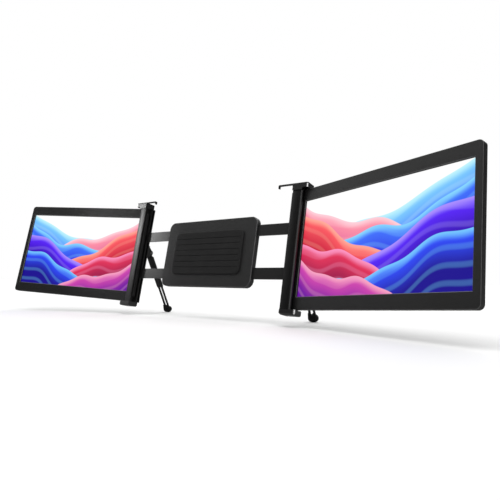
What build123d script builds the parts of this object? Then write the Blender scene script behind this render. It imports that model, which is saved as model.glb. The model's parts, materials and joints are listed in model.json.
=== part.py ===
"""Portable monitor: two wing screens on a sprung clamp with two folding rear legs.

Millimetres. The origin is the centre of the clamp's rest pad, +X is to the user's right,
+Y is away from the user and +Z is up. The clamp leans back, and both screens are toed in
towards the user. Every handed piece is modelled on the right-hand side and mirrored for
the left.
"""
import os
from math import cos, radians, sin, sqrt, tan

from build123d import *

os.makedirs("parts", exist_ok=True)

# Pose, degrees
lean = 11.1
toe_in = 17.2
toe_in_stop = 45.0
leg_open = 37.1

# Screen: a 11.6 inch 16:9 panel in a slim casing
panel_width = 256.9
panel_height = 144.5
panel_border = 2.4
glass_thickness = 1.2
backlight_thickness = 2.0
bezel_side = 9.2
bezel_top = 18.5
bezel_depth = 2.2
opening_chamfer = 0.9
hinge_to_panel = 5.0
screen_depth = 9.0
screen_mid = 2.0
screen_corner = 6.0
rim_radius = 0.8
cover_wall = 1.6
hinge_block = 8.0
hinge_block_wall = 0.2
panel_gap = 0.2

# Raised housing on the screen's back, with the driver board, sockets and keys
hump_far_gap = 33.1
hump_width = 120.0
hump_low = -68.0
hump_height = 88.0
hump_rise = 7.5
hump_corner = 8.0
hump_edge = 1.2
board_margin = 3.2
board_thickness = 1.2
plug_room = 3.3
board_post_radius = 2.4
board_post_inset = 12.0
main_chip = 16.0
main_chip_x = -4.0
main_chip_z = -6.0
small_chip_width = 7.0
small_chip_height = 10.0
small_chip_places = ((-30.0, 10.0), (22.0, -14.0))
chip_thickness = 1.4
switch_depth = 5.0
switch_width = 6.0
switch_head_gap = 0.4
vent_count = 9
vent_pitch = 4.0
vent_width = 1.8
vent_length = 26.0
socket_height = 3.2
socket_depth = 7.0
socket_metal = 0.3
socket_gap = 0.15
socket_setback = 0.1
socket_tongue_margin = 1.2
socket_tongue_inset = 1.2
socket_tongue = 0.6
usb_width = 8.9
video_width = 11.2
usb_heights = (-46.0, -30.0)
video_height = -12.0
key_length = 8.0
key_width = 2.4
key_proud = 0.8
key_travel = 0.5
key_flange = 0.8
key_heights = {"power": 2.0, "plus": -14.0, "minus": -26.0}
key_gap = 0.1

# Screen pivots
pivot_x = 181.35
pivot_y = 4.48
pin_radius = 1.5
pin_depth = 8.0
pin_end_gap = 1.0
pin_grip = 6.0
pin_running_gap = 0.05
bush_wall = 0.65
bush_flange = 0.8
bush_flange_radius = 3.6
thrust_gap = 0.2
swing_gap = 0.4

# Column at each end of the clamp
column_inner = 163.3
column_tip = 180.2
column_crest = 7.75
column_shoulder = 7.4
column_edge = 1.2
lip_front = 2.4
lip_round = 4.4
column_split = 2.0
column_back = 12.0
column_wall = 2.3
channel_inner = 157.0
channel_outer_wall = 3.4
channel_corner = 2.5
column_low = -89.8
column_high = 90.8

# Caps at both ends of the column
cap_outer = 189.5
cap_front = 8.9
cap_top = 101.4
cap_bottom = -97.7
cap_edge = 2.8
shoe_taper = 2.2
tongue_length = 7.0
tongue_gap = 0.2
hook_inner = 137.7
hook_plate = 1.6
hook_width = 4.0
hook_drop = 5.6
hook_bend = 1.2
hook_root = 3.0

# Silicone pads
lid_pad_width = 150.0
lid_pad_height = 74.0
lid_pad_thickness = 2.0
lid_pad_corner = 9.0
pad_groove_count = 6
pad_groove_pitch = 10.0
pad_groove_width = 1.6
pad_groove_depth = 0.7
pad_groove_margin = 8.0
side_pad_thickness = 2.4
side_pad_length = 160.0
side_pad_front = 4.2
side_pad_back = 1.6

# Telescoping arms
arm_edge_margin = 23.0
arm_width = 18.0
arm_thickness = 3.0
arm_front = 5.2
arm_end_gap = 0.2
arm_seat_gap = 0.05
arm_corner = 5.0
yoke_inner = 36.0
yoke_bar = 14.0
hook_eye_radius = 1.6
hook_eye_inset = 4.8

# Centre housing
housing_width = 196.0
housing_height = 116.0
housing_corner = 12.0
housing_depth = 12.0
housing_plate = 2.0
housing_wall = 2.0
housing_edge = 3.0
housing_front_edge = 0.8
liner_wall = 1.0
liner_length = 6.0
liner_gap = 0.12
boss_radius = 3.4
anchor_size = 12.0
anchor_post_radius = 2.0
spring_radius = 2.5
spring_wire = 0.8
spring_end_gap = 0.3

# Rear legs
leg_x = 164.6
leg_pivot_y = 19.6
leg_pivot_z = 8.0
leg_length = 121.3
ear_thickness = 3.0
ear_radius = 4.6
knuckle_width = 6.2
knuckle_gap = 0.25
leg_pin_radius = 1.5
bracket_height = 24.0
bracket_plate = 2.0
sleeve_start = 9.0
sleeve_end = 72.0
sleeve_width = 14.4
sleeve_thickness = 6.4
sleeve_edge = 2.4
rod_radius = 2.1
rod_spacing = 8.5
rod_top = 48.0
rod_gap = 0.08
bore_top = 14.0
foot_width = 17.0
foot_radius = 6.5
foot_edge = 3.2
foot_bite = 3.0
foot_fit = 0.03

# Screws
screw_radius = 1.0
screw_head_radius = 1.9
screw_head = 0.8
screw_gap = 0.05
screw_head_gap = 0.2
screw_bite = 4.0
cap_screw_bite = 6.0
screen_screw_inset = 22.0
housing_screw_inset = 10.0
housing_screw_level = 20.0
housing_screw_rise = 8.0
cap_screw_places = (166.0, 171.5)
arm_screw_x = 166.0
arm_screw_spread = 4.5

# Places worked out from the sizes above
half_depth = screen_depth / 2
screen_width = hinge_to_panel + panel_width + bezel_side
hump_start = screen_width - hump_far_gap - hump_width
screen_height = panel_height + 2 * bezel_top
screen_low = screen_mid - screen_height / 2
screen_high = screen_mid + screen_height / 2
panel_mid = hinge_to_panel + panel_width / 2
cover_floor = half_depth - cover_wall
cavity_start = hinge_to_panel - panel_border - panel_gap
hinge_block_height = pin_depth + pin_end_gap + hinge_block_wall
panel_foot = bezel_top - hinge_block_height - panel_gap
cap_floor = screen_high + bush_flange + thrust_gap
seat_radius = half_depth + swing_gap
seat_x = pivot_x - seat_radius
bush_radius = pin_radius + pin_running_gap + bush_wall
arm_end = seat_x - channel_outer_wall - arm_end_gap
arm_mid_y = arm_front + arm_thickness / 2
arm_level = housing_height / 2 - arm_edge_margin
block_top = cap_top - hook_plate

# The clamp's own planes: stand looks down the columns, lid_face looks at the user
stand = Plane(
    (0, 0, 0), x_dir=(1, 0, 0), z_dir=(0, sin(radians(lean)), cos(radians(lean)))
)
lid_face = Plane((0, 0, 0), x_dir=stand.x_dir, z_dir=-stand.y_dir)
# The right screen's planes, on its pivot and turned by the toe-in
swivel = Plane(
    stand.from_local_coords((pivot_x, pivot_y, 0)),
    x_dir=stand.x_dir * cos(radians(toe_in)) - stand.y_dir * sin(radians(toe_in)),
    z_dir=stand.z_dir,
)
screen_face = Plane(swivel.origin, x_dir=swivel.x_dir, z_dir=-swivel.y_dir)
bezel_seam = screen_face.offset(half_depth - bezel_depth)
# The right leg's plane, on its hinge with z down the leg
leg = Plane(
    stand.from_local_coords((leg_x, leg_pivot_y, leg_pivot_z)),
    x_dir=stand.x_dir,
    z_dir=stand.y_dir * sin(radians(leg_open)) - stand.z_dir * cos(radians(leg_open)),
)


def place(plane, x, y, z):
    """A point given in a plane's own coordinates."""
    return plane.from_local_coords((x, y, z))


def export_single(piece, name):
    piece.part.label = name
    export_step(piece.part, f"parts/{name}.step")


def export_pair(piece, name):
    """Writes a right-hand piece and its mirrored left-hand twin."""
    twin = mirror(piece.part, about=Plane.YZ)
    for side, solid in (("right", piece.part), ("left", twin)):
        solid.label = f"{side}_{name}"
        export_step(solid, f"parts/{side}_{name}.step")


# Outer form of a screen: a slab whose hinge edge is round about the pivot
with BuildPart() as screen_blank:
    with BuildSketch(swivel.offset(screen_low)):
        with BuildLine():
            Polyline(
                (0, -half_depth),
                (screen_width, -half_depth),
                (screen_width, half_depth),
                (0, half_depth),
            )
            ThreePointArc((0, half_depth), (-half_depth, 0), (0, -half_depth))
        make_face()
    extrude(amount=screen_height)
    fillet(
        screen_blank.edges().filter_by(Axis(swivel.origin, swivel.y_dir)), screen_corner
    )
    slab_faces = screen_blank.faces().sort_by(Axis(swivel.origin, swivel.y_dir))
    rim = (slab_faces[0].edges() + slab_faces[-1].edges()).filter_by(
        lambda edge: swivel.to_local_coords(edge.center()).X > half_depth
    )
    fillet(rim, rim_radius)

# Where the screws that join bezel and cover stand: a row above and a row below the panel
screw_rows = (
    (screen_high - cover_wall + screen_mid + panel_height / 2 + panel_border) / 2,
    (screen_low + cover_wall + screen_mid - panel_height / 2 - panel_foot) / 2,
)
screw_columns = (screen_screw_inset, screen_width / 2, screen_width - screen_screw_inset)
screen_screw_places = [(x, z) for z in screw_rows for x in screw_columns]
head_recess = screw_head + screw_head_gap / 2

# Front bezel: a thin frame with a chamfered window and screw posts behind it
with BuildPart() as bezel:
    add(screen_blank.part)
    split(bisect_by=bezel_seam, keep=Keep.TOP)
    with BuildSketch(bezel_seam):
        with Locations((panel_mid, screen_mid)):
            Rectangle(panel_width, panel_height)
    extrude(amount=bezel_depth, mode=Mode.SUBTRACT)
    window = (
        bezel.faces()
        .sort_by(Axis(swivel.origin, swivel.y_dir))[0]
        .inner_wires()
        .edges()
    )
    chamfer(window, opening_chamfer)
    with BuildSketch(bezel_seam):
        with Locations(*screen_screw_places):
            Circle(board_post_radius)
    extrude(amount=-(cover_floor + half_depth - bezel_depth))
    with BuildSketch(screen_face.offset(-cover_floor)):
        with Locations(*screen_screw_places):
            Circle(screw_radius + screw_gap)
    extrude(amount=screw_bite + screw_gap, mode=Mode.SUBTRACT)
export_pair(bezel, "bezel")

hump_mid = hump_start + hump_width / 2
hump_mid_z = hump_low + hump_height / 2
hump_back = half_depth + hump_rise
hump_floor = hump_back - cover_wall
hump_end = hump_start + hump_width
socket_y = half_depth + plug_room
board_back = socket_y - socket_height / 2
board_front = board_back - board_thickness
key_y = (half_depth + hump_floor) / 2
# Both side walls of the hump, each sketched with its second axis pointing to the back
socket_side = Plane(
    place(swivel, hump_start, 0, 0), x_dir=swivel.z_dir, z_dir=-swivel.x_dir
)
key_side = Plane(
    place(swivel, hump_end, 0, 0), x_dir=-swivel.z_dir, z_dir=swivel.x_dir
)
board_post_places = [
    (
        hump_mid + i * (hump_width / 2 - board_post_inset),
        hump_mid_z + k * (hump_height / 2 - board_post_inset),
    )
    for i in (-1, 1)
    for k in (-1, 1)
]

# Rear cover: a tray with the hinge edge, the raised housing, its vents and its openings
with BuildPart() as rear_cover:
    add(screen_blank.part)
    split(bisect_by=bezel_seam, keep=Keep.BOTTOM)
    with BuildSketch(screen_face.offset(-half_depth)):
        with Locations((hump_mid, hump_mid_z)):
            RectangleRounded(hump_width, hump_height, hump_corner)
    extrude(amount=-hump_rise)
    hump_rim = rear_cover.faces().sort_by(Axis(swivel.origin, swivel.y_dir))[-1]
    fillet(hump_rim.edges(), hump_edge)
    with BuildSketch(bezel_seam):
        with Locations((cavity_start, screen_mid)):
            Rectangle(
                screen_width - cover_wall - cavity_start,
                screen_height - 2 * cover_wall,
                align=(Align.MIN, Align.CENTER),
            )
        with Locations((0, screen_high), (0, screen_low)):
            Rectangle(2 * hinge_block, 2 * hinge_block_height, mode=Mode.SUBTRACT)
    extrude(amount=-(cover_floor + half_depth - bezel_depth), mode=Mode.SUBTRACT)
    with BuildSketch(screen_face.offset(-cover_floor)):
        with Locations((hump_mid, hump_mid_z)):
            RectangleRounded(
                hump_width - 2 * cover_wall,
                hump_height - 2 * cover_wall,
                hump_corner - cover_wall,
            )
    extrude(amount=-hump_rise, mode=Mode.SUBTRACT)
    with BuildSketch(screen_face.offset(-board_back)):
        with Locations(*board_post_places):
            Circle(board_post_radius)
    extrude(amount=-(hump_floor - board_back))
    with BuildSketch(screen_face.offset(-hump_floor)):
        with Locations((hump_mid, hump_low + hump_height - vent_length)):
            with GridLocations(vent_pitch, 1, vent_count, 1):
                SlotOverall(vent_length, vent_width, rotation=90)
    extrude(amount=-cover_wall, mode=Mode.SUBTRACT)
    with BuildSketch(socket_side):
        with Locations(*[(z, socket_y) for z in usb_heights]):
            SlotOverall(usb_width + 2 * socket_gap, socket_height + 2 * socket_gap)
        with Locations((video_height, socket_y)):
            Rectangle(video_width + 2 * socket_gap, socket_height + 2 * socket_gap)
    extrude(amount=-cover_wall, mode=Mode.SUBTRACT)
    with BuildSketch(key_side):
        with Locations(*[(-z, key_y) for z in key_heights.values()]):
            SlotOverall(key_length + 2 * key_gap, key_width + 2 * key_gap)
    extrude(amount=-cover_wall, mode=Mode.SUBTRACT)
    for level, into in ((screen_high, -1), (screen_low, 1)):
        with BuildSketch(swivel.offset(level)):
            Circle(bush_radius + pin_running_gap / 2)
        extrude(amount=into * (pin_depth + pin_end_gap), mode=Mode.SUBTRACT)
    with BuildSketch(screen_face.offset(-half_depth)):
        with Locations(*screen_screw_places):
            Circle(screw_head_radius + screw_head_gap)
    extrude(amount=head_recess, mode=Mode.SUBTRACT)
    with BuildSketch(screen_face.offset(-half_depth)):
        with Locations(*screen_screw_places):
            Circle(screw_radius + screw_head_gap)
    extrude(amount=cover_wall, mode=Mode.SUBTRACT)
export_pair(rear_cover, "rear_cover")

# Liquid crystal cell, laid against the back of the bezel
with BuildPart() as lcd_panel:
    with BuildSketch(bezel_seam):
        with Locations((panel_mid, screen_mid + (panel_border - panel_foot) / 2)):
            Rectangle(
                panel_width + 2 * panel_border, panel_height + panel_border + panel_foot
            )
    extrude(amount=-glass_thickness)
export_pair(lcd_panel, "lcd_panel")

# Backlight tray behind the cell
with BuildPart() as backlight:
    with BuildSketch(bezel_seam.offset(-glass_thickness)):
        with Locations((panel_mid, screen_mid + (panel_border - panel_foot) / 2)):
            Rectangle(
                panel_width + 2 * panel_border, panel_height + panel_border + panel_foot
            )
    extrude(amount=-backlight_thickness)
export_pair(backlight, "backlight")

# Driver board on the posts of the hump, with its chips and a tact switch under each key
switch_face = hump_end - cover_wall - key_gap - key_flange - key_travel - 2 * key_gap
with BuildPart() as driver_board:
    with BuildSketch(screen_face.offset(-board_front)):
        with Locations((hump_mid, hump_mid_z)):
            RectangleRounded(
                hump_width - 2 * (cover_wall + board_margin),
                hump_height - 2 * (cover_wall + board_margin),
                hump_corner - cover_wall - board_margin,
            )
    extrude(amount=-board_thickness)
    with BuildSketch(screen_face.offset(-board_back)):
        with Locations((hump_mid + main_chip_x, hump_mid_z + main_chip_z)):
            Rectangle(main_chip, main_chip)
        with Locations(*[(hump_mid + x, hump_mid_z + z) for x, z in small_chip_places]):
            Rectangle(small_chip_width, small_chip_height)
    extrude(amount=-chip_thickness)
    with BuildSketch(screen_face.offset(-board_back)):
        with Locations(*[(switch_face, z) for z in key_heights.values()]):
            Rectangle(switch_depth, switch_width, align=(Align.MAX, Align.CENTER))
    extrude(amount=-(hump_floor - board_back - switch_head_gap))
export_pair(driver_board, "driver_board")

# Two data sockets and one video socket, soldered to the board behind the hump's wall
with BuildPart() as sockets:
    mouth = socket_side.offset(-cover_wall - socket_setback)
    with BuildSketch(mouth):
        with Locations(*[(z, socket_y) for z in usb_heights]):
            SlotOverall(usb_width, socket_height)
        with Locations((video_height, socket_y)):
            Rectangle(video_width, socket_height)
    extrude(amount=-socket_depth)
    with BuildSketch(mouth):
        with Locations(*[(z, socket_y) for z in usb_heights]):
            SlotOverall(usb_width - 2 * socket_metal, socket_height - 2 * socket_metal)
        with Locations((video_height, socket_y)):
            Rectangle(video_width - 2 * socket_metal, socket_height - 2 * socket_metal)
    extrude(amount=-(socket_depth - socket_metal), mode=Mode.SUBTRACT)
    with BuildSketch(mouth.offset(-socket_depth)):
        with Locations(*[(z, socket_y) for z in usb_heights]):
            Rectangle(usb_width - 2 * socket_tongue_margin, socket_tongue)
        with Locations((video_height, socket_y)):
            Rectangle(video_width - 2 * socket_tongue_margin, socket_tongue)
    extrude(amount=socket_depth - socket_tongue_inset)
export_pair(sockets, "sockets")

# Keys: a pill through the hump's outer wall with a flange behind it
for key_name, key_height in key_heights.items():
    with BuildPart() as key:
        with BuildSketch(key_side.offset(key_proud)):
            with Locations((-key_height, key_y)):
                SlotOverall(key_length, key_width)
        extrude(amount=-(key_proud + cover_wall + key_gap))
        with BuildSketch(key_side.offset(-cover_wall - key_gap)):
            with Locations((-key_height, key_y)):
                SlotOverall(key_length + 2 * key_flange, key_width + key_flange)
        extrude(amount=-key_flange)
    export_pair(key, f"{key_name}_key")

# Flanged bushes that line the pivot bores and take the screen's weight
with BuildPart() as hinge_bushes:
    for level, into in ((screen_high, -1), (screen_low, 1)):
        with BuildSketch(swivel.offset(level)):
            Circle(bush_flange_radius)
            Circle(pin_radius + pin_running_gap, mode=Mode.SUBTRACT)
        extrude(amount=-into * bush_flange)
        with BuildSketch(swivel.offset(level)):
            Circle(bush_radius)
            Circle(pin_radius + pin_running_gap, mode=Mode.SUBTRACT)
        extrude(amount=into * (pin_depth + pin_end_gap / 2))
export_pair(hinge_bushes, "hinge_bushes")

# Steel pivot pins, fixed in the caps
with BuildPart() as pivot_pins:
    for level, edge, into in (
        (cap_floor, screen_high, -1),
        (column_low, screen_low, 1),
    ):
        with BuildSketch(swivel.offset(level - into * pin_grip)):
            Circle(pin_radius)
        extrude(amount=into * (pin_grip + abs(level - edge) + pin_depth))
export_pair(pivot_pins, "pivot_pins")

# Pan-head screws that hold the rear cover to the bezel
with BuildPart() as screen_screws:
    with BuildSketch(screen_face.offset(-half_depth + head_recess)):
        with Locations(*screen_screw_places):
            Circle(screw_head_radius)
    extrude(amount=-screw_head)
    with BuildSketch(screen_face.offset(-half_depth + head_recess)):
        with Locations(*screen_screw_places):
            Circle(screw_radius)
    extrude(amount=screw_bite + cover_wall - head_recess)
export_pair(screen_screws, "screen_screws")

stop_x = pivot_x - seat_radius * sin(radians(toe_in_stop))
stop_y = pivot_y - seat_radius * cos(radians(toe_in_stop))
lip_back = stop_y - (column_tip - stop_x) * tan(radians(toe_in_stop))
split_x = pivot_x - sqrt(seat_radius**2 - (pivot_y - column_split) ** 2)
column_height = column_high - column_low
face_start = column_inner + column_edge
face_end = column_tip - lip_round
pocket_front = column_shoulder - column_wall

# Column front: a slightly bowed cover whose round lip runs in front of the screen's hinge edge
with BuildPart() as column_front:
    with BuildSketch(stand.offset(column_low)):
        with BuildLine():
            TangentArc(
                (column_inner, column_edge - column_shoulder),
                (face_start, -column_shoulder),
                tangent=(0, -1),
            )
            face = ThreePointArc(
                (face_start, -column_shoulder),
                ((face_start + face_end) / 2, -column_crest),
                (face_end, -column_shoulder),
            )
            TangentArc(face @ 1, (column_tip, -lip_front), tangent=face % 1)
            Polyline(
                (column_tip, -lip_front), (column_tip, lip_back), (stop_x, stop_y)
            )
            RadiusArc((stop_x, stop_y), (split_x, column_split), -seat_radius)
            Polyline(
                (split_x, column_split),
                (column_inner, column_split),
                (column_inner, column_edge - column_shoulder),
            )
        make_face()
    extrude(amount=column_height)
    with BuildSketch(stand.offset(column_low)):
        with Locations((column_inner + column_wall, column_split)):
            Rectangle(
                stop_x - column_inner - 2 * column_wall,
                column_split + pocket_front,
                align=(Align.MIN, Align.MAX),
            )
    extrude(amount=column_height, mode=Mode.SUBTRACT)
export_pair(column_front, "column_front")

arm_screw_places = [
    (arm_screw_x, i * arm_level + k * arm_screw_spread)
    for i in (-1, 1)
    for k in (-1, 1)
]
arm_back = arm_front + arm_thickness
cap_screw_y = (arm_back + arm_seat_gap + column_back) / 2

# Column channel: an extrusion that takes the arms, the leg bracket and both caps
with BuildPart() as column_channel:
    with BuildSketch(stand.offset(column_low)):
        with BuildLine():
            RadiusArc((split_x, column_split), (seat_x, pivot_y), -seat_radius)
            Polyline(
                (seat_x, pivot_y),
                (seat_x, column_back),
                (channel_inner, column_back),
                (channel_inner, column_split),
                (split_x, column_split),
            )
        make_face()
    extrude(amount=column_height)
    back_corners = column_channel.edges().filter_by(Axis(stand.origin, stand.z_dir))
    back_corners = back_corners.group_by(Axis(stand.origin, stand.y_dir))[-1]
    fillet(back_corners, channel_corner)
    with BuildSketch(stand.offset(column_low)):
        with Locations((channel_inner, arm_front - arm_seat_gap)):
            Rectangle(
                seat_x - channel_outer_wall - channel_inner,
                arm_thickness + 2 * arm_seat_gap,
                align=Align.MIN,
            )
    extrude(amount=column_height, mode=Mode.SUBTRACT)
    with BuildSketch(lid_face.offset(-column_back)):
        with Locations(*arm_screw_places):
            Circle(screw_radius + screw_head_gap)
    extrude(amount=column_back - arm_back, mode=Mode.SUBTRACT)
    with BuildSketch(lid_face.offset(-column_back)):
        with Locations(*arm_screw_places):
            Circle(screw_head_radius + screw_head_gap)
    extrude(amount=head_recess, mode=Mode.SUBTRACT)
    for level, into in ((column_high, -1), (column_low, 1)):
        with BuildSketch(stand.offset(level)):
            with Locations(*[(x, cap_screw_y) for x in cap_screw_places]):
                Circle(screw_radius + screw_gap)
        extrude(amount=into * (cap_screw_bite + screw_gap), mode=Mode.SUBTRACT)
export_pair(column_channel, "column_channel")

# Screws that hold the arms in the channel
with BuildPart() as arm_screws:
    with BuildSketch(lid_face.offset(-column_back + head_recess)):
        with Locations(*arm_screw_places):
            Circle(screw_head_radius)
    extrude(amount=-screw_head)
    with BuildSketch(lid_face.offset(-column_back + head_recess)):
        with Locations(*arm_screw_places):
            Circle(screw_radius)
    extrude(amount=column_back - head_recess - arm_front)
export_pair(arm_screws, "arm_screws")

tongue_width = stop_x - column_inner - 2 * column_wall - 2 * tongue_gap
tongue_depth = column_split + pocket_front - 2 * tongue_gap

# Top cap: block over column and pivot
with BuildPart() as top_cap:
    with BuildSketch(stand.offset(cap_floor)):
        with Locations((column_inner, -cap_front)):
            Rectangle(
                cap_outer - column_inner, cap_front + column_back, align=Align.MIN
            )
    extrude(amount=block_top - cap_floor)
    upright_edges = top_cap.edges().filter_by(Axis(stand.origin, stand.z_dir))
    fillet(upright_edges.group_by(Axis(stand.origin, stand.x_dir))[-1], cap_edge)
    with BuildSketch(stand.offset(column_high)):
        with Locations((column_inner, -cap_front)):
            Rectangle(
                seat_x - column_inner, cap_front + column_back, align=Align.MIN
            )
            Rectangle(
                column_tip - column_inner, cap_front - lip_front, align=Align.MIN
            )
    extrude(amount=cap_floor - column_high)
    with BuildSketch(stand.offset(column_high)):
        with Locations(
            (column_inner + column_wall + tongue_gap, column_split - tongue_gap)
        ):
            Rectangle(tongue_width, tongue_depth, align=(Align.MIN, Align.MAX))
    extrude(amount=-tongue_length)
    with BuildSketch(swivel.offset(cap_floor)):
        Circle(pin_radius + pin_running_gap / 2)
    extrude(amount=pin_grip, mode=Mode.SUBTRACT)
    with BuildSketch(stand.offset(block_top)):
        with Locations(*[(x, cap_screw_y) for x in cap_screw_places]):
            Circle(screw_radius + screw_head_gap)
    extrude(amount=-(block_top - column_high), mode=Mode.SUBTRACT)
export_pair(top_cap, "top_cap")

# Hook: a steel plate on the cap, with a finger that goes over the clamped edge and bends down
with BuildPart() as hook:
    with BuildSketch(stand.offset(block_top)) as hook_outline:
        with Locations((column_inner, -cap_front)):
            Rectangle(
                cap_outer - column_inner, cap_front + column_back, align=Align.MIN
            )
        fillet(hook_outline.vertices().group_by(Axis.X)[-1], cap_edge)
        with Locations((hook_inner, -cap_front)):
            Rectangle(column_inner - hook_inner, hook_width, align=Align.MIN)
        root = hook_outline.vertices().group_by(Axis.X)[1].sort_by(Axis.Y)[0]
        fillet(root, hook_root)
    extrude(amount=hook_plate)
    with BuildSketch(stand.offset(block_top)):
        with Locations((hook_inner, -cap_front)):
            Rectangle(hook_plate, hook_width, align=Align.MIN)
    extrude(amount=-(hook_drop - hook_plate))
    plate_top = hook.faces().sort_by(Axis(stand.origin, stand.z_dir))[-1]
    bend = plate_top.edges().sort_by(Axis(stand.origin, stand.x_dir))[0]
    fillet(bend, hook_bend)
    with BuildSketch(stand.offset(cap_top)):
        with Locations(*[(x, cap_screw_y) for x in cap_screw_places]):
            Circle(screw_radius + screw_head_gap)
    extrude(amount=-hook_plate, mode=Mode.SUBTRACT)
    with BuildSketch(stand.offset(cap_top)):
        with Locations(*[(x, cap_screw_y) for x in cap_screw_places]):
            Circle(screw_head_radius + screw_head_gap)
    extrude(amount=-head_recess, mode=Mode.SUBTRACT)
export_pair(hook, "hook")

# Bottom cap: shoe under column and pivot
with BuildPart() as bottom_cap:
    with BuildSketch(stand.offset(cap_bottom)):
        with Locations((column_inner, -cap_front)):
            Rectangle(
                cap_outer - column_inner, cap_front + column_back, align=Align.MIN
            )
    extrude(amount=column_low - cap_bottom)
    chamfer(
        bottom_cap.faces().sort_by(Axis(stand.origin, stand.z_dir))[0].edges(), shoe_taper
    )
    upright_edges = bottom_cap.edges().filter_by(Axis(stand.origin, stand.z_dir))
    fillet(upright_edges.group_by(Axis(stand.origin, stand.x_dir))[-1], cap_edge)
    with BuildSketch(stand.offset(column_low)):
        with Locations(
            (column_inner + column_wall + tongue_gap, column_split - tongue_gap)
        ):
            Rectangle(tongue_width, tongue_depth, align=(Align.MIN, Align.MAX))
    extrude(amount=tongue_length)
    with BuildSketch(swivel.offset(column_low)):
        Circle(pin_radius + pin_running_gap / 2)
    extrude(amount=-pin_grip, mode=Mode.SUBTRACT)
    with BuildSketch(stand.offset(cap_bottom)):
        with Locations(*[(x, cap_screw_y) for x in cap_screw_places]):
            Circle(screw_radius + screw_head_gap)
    extrude(amount=column_low - cap_bottom, mode=Mode.SUBTRACT)
    with BuildSketch(stand.offset(cap_bottom)):
        with Locations(*[(x, cap_screw_y) for x in cap_screw_places]):
            Circle(screw_head_radius + screw_head_gap)
    extrude(amount=head_recess, mode=Mode.SUBTRACT)
export_pair(bottom_cap, "bottom_cap")

# Screws through both caps into the channel
with BuildPart() as cap_screws:
    for level, edge, into in ((cap_top, column_high, -1), (cap_bottom, column_low, 1)):
        with BuildSketch(stand.offset(level + into * head_recess)):
            with Locations(*[(x, cap_screw_y) for x in cap_screw_places]):
                Circle(screw_head_radius)
        extrude(amount=-into * screw_head)
        with BuildSketch(stand.offset(level + into * head_recess)):
            with Locations(*[(x, cap_screw_y) for x in cap_screw_places]):
                Circle(screw_radius)
        extrude(amount=into * (abs(level - edge) - head_recess + cap_screw_bite))
export_pair(cap_screws, "cap_screws")

# Silicone strip on the column, which grips what the clamp closes on
with BuildPart() as side_pad:
    with BuildSketch(stand.offset(-side_pad_length / 2)):
        with Locations((column_inner - side_pad_thickness, -side_pad_front)):
            Rectangle(
                side_pad_thickness, side_pad_front + side_pad_back, align=Align.MIN
            )
    extrude(amount=side_pad_length)
export_pair(side_pad, "side_pad")

# Arm yoke: two flat arms and a cross bar, cut from one steel sheet
with BuildPart() as arm_yoke:
    with BuildSketch(lid_face.offset(-arm_front)) as yoke_outline:
        with Locations((yoke_inner, arm_level), (yoke_inner, -arm_level)):
            Rectangle(
                arm_end - yoke_inner, arm_width, align=(Align.MIN, Align.CENTER)
            )
        with Locations((yoke_inner, 0)):
            Rectangle(
                yoke_bar, 2 * arm_level + arm_width, align=(Align.MIN, Align.CENTER)
            )
        inner_corners = yoke_outline.vertices().filter_by(
            lambda corner: abs(corner.X - yoke_inner - yoke_bar) < arm_end_gap
        )
        fillet(inner_corners, arm_corner)
        with Locations((yoke_inner + hook_eye_inset, 0)):
            Circle(hook_eye_radius, mode=Mode.SUBTRACT)
        with Locations(*arm_screw_places):
            Circle(screw_radius + screw_gap, mode=Mode.SUBTRACT)
    extrude(amount=-arm_thickness)
export_pair(arm_yoke, "arm_yoke")

housing_front_y = lid_pad_thickness
housing_seam = housing_front_y + housing_plate
housing_back_y = housing_front_y + housing_depth
housing_floor = housing_back_y - housing_wall
housing_screw_x = housing_width / 2 - housing_screw_inset
housing_screw_z = housing_height / 2 - housing_screw_rise
housing_screw_places = [
    *[(i * housing_screw_x, k * housing_screw_level) for i in (-1, 1) for k in (-1, 1)],
    (0, housing_screw_z),
    (0, -housing_screw_z),
]

# Housing front plate, with the screw bosses that reach to the back shell
with BuildPart() as housing_front:
    with BuildSketch(lid_face.offset(-housing_front_y)):
        RectangleRounded(housing_width, housing_height, housing_corner)
    extrude(amount=-housing_plate)
    front_rim = housing_front.faces().sort_by(Axis(stand.origin, stand.y_dir))[0].edges()
    chamfer(front_rim, housing_front_edge)
    with BuildSketch(lid_face.offset(-housing_seam)):
        with Locations(*housing_screw_places):
            Circle(boss_radius)
    extrude(amount=-(housing_floor - housing_seam))
    with BuildSketch(lid_face.offset(-housing_floor)):
        with Locations(*housing_screw_places):
            Circle(screw_radius + screw_gap)
    extrude(amount=screw_bite + screw_gap, mode=Mode.SUBTRACT)
export_single(housing_front, "housing_front")

liner_outer = (
    arm_thickness + 2 * (liner_gap + liner_wall),
    arm_width + 2 * (liner_gap + liner_wall),
)
liner_inner = (arm_thickness + 2 * liner_gap, arm_width + 2 * liner_gap)
# End wall of the housing, sketched with its first axis up and its second to the back
housing_end = Plane(
    (housing_width / 2, 0, 0), x_dir=stand.z_dir, z_dir=-stand.x_dir
)

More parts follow.
